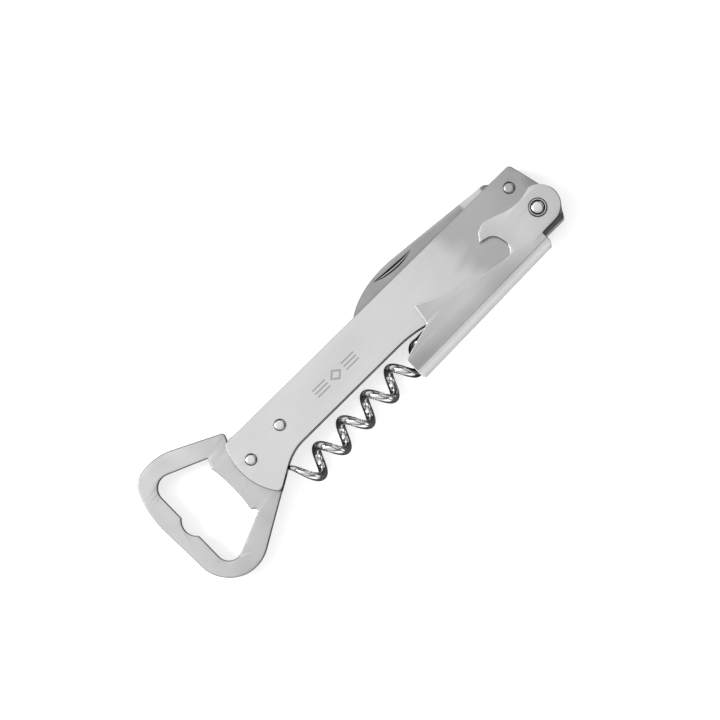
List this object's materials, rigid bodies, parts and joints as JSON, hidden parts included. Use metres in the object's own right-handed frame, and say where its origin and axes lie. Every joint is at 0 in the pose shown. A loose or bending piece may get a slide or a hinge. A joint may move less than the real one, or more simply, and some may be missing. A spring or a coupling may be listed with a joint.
{
  "type": "lever corkscrew",
  "caption": "Folding lever corkscrew: two steel side plates carry a crown-cap opener, a wire worm, a U-shaped lever with a cap hook, and a short folding blade.",
  "frame": {"origin": "centre of the object's box, at its base, as it lies folded on its back", "axes": "+X along the handle from the cap opener to the lever's pivot, +Y towards the edge that the blade folds out of, +Z square to the side plates and up"},
  "size_m": [0.138, 0.0396, 0.011],
  "materials": {
    "plate_steel": "fine satin, brushed along the handle",
    "opener_steel": "tumbled satin",
    "lever_steel": "satin",
    "blade_steel": "ground across the blade",
    "wire_chrome": "polished",
    "rivet_steel": "polished",
    "spring_steel": "heat-treated, dull",
    "washer_brass": "plain stamped"
  },
  "bodies": {
    "handle": {"front_side_plate": "plate_steel", "back_side_plate": "plate_steel", "bottle_opener_plate": "opener_steel", "tail_rivet": "rivet_steel", "neck_rivet": "rivet_steel", "lever_pivot_rivet": "rivet_steel", "lever_spacer_bush": "spring_steel", "worm_pivot_pin": "rivet_steel", "worm_washer_front": "washer_brass", "worm_washer_back": "washer_brass", "knife_pivot_rivet": "rivet_steel", "knife_washer_front": "washer_brass", "knife_washer_back": "washer_brass", "back_spring": "spring_steel", "spring_pin_left": "rivet_steel", "spring_pin_right": "rivet_steel"},
    "lever": {"lever": "lever_steel", "lever_washer_front": "rivet_steel", "lever_washer_back": "rivet_steel"},
    "worm": {"worm": "wire_chrome"},
    "knife": {"knife_blade": "blade_steel"}
  },
  "joints": [
    {"name": "lever_fold", "type": "hinge", "parent": "handle", "child": "lever", "pos_m": [0.06252, -0.00442, 0.0055], "axis": [0, 0, 1], "range_deg": [0, 110]},
    {"name": "worm_fold", "type": "hinge", "parent": "handle", "child": "worm", "pos_m": [0.02932, -0.00672, 0.0055], "axis": [0, 0, 1], "range_deg": [0, 88]},
    {"name": "knife_fold", "type": "hinge", "parent": "handle", "child": "knife", "pos_m": [0.06082, 0.00478, 0.0055], "axis": [0, 0, -1], "range_deg": [0, 180]}
  ],
  "couplings": [
    {"joint": "worm_fold", "follows": "lever_fold", "ratio": 0.8}
  ]
}
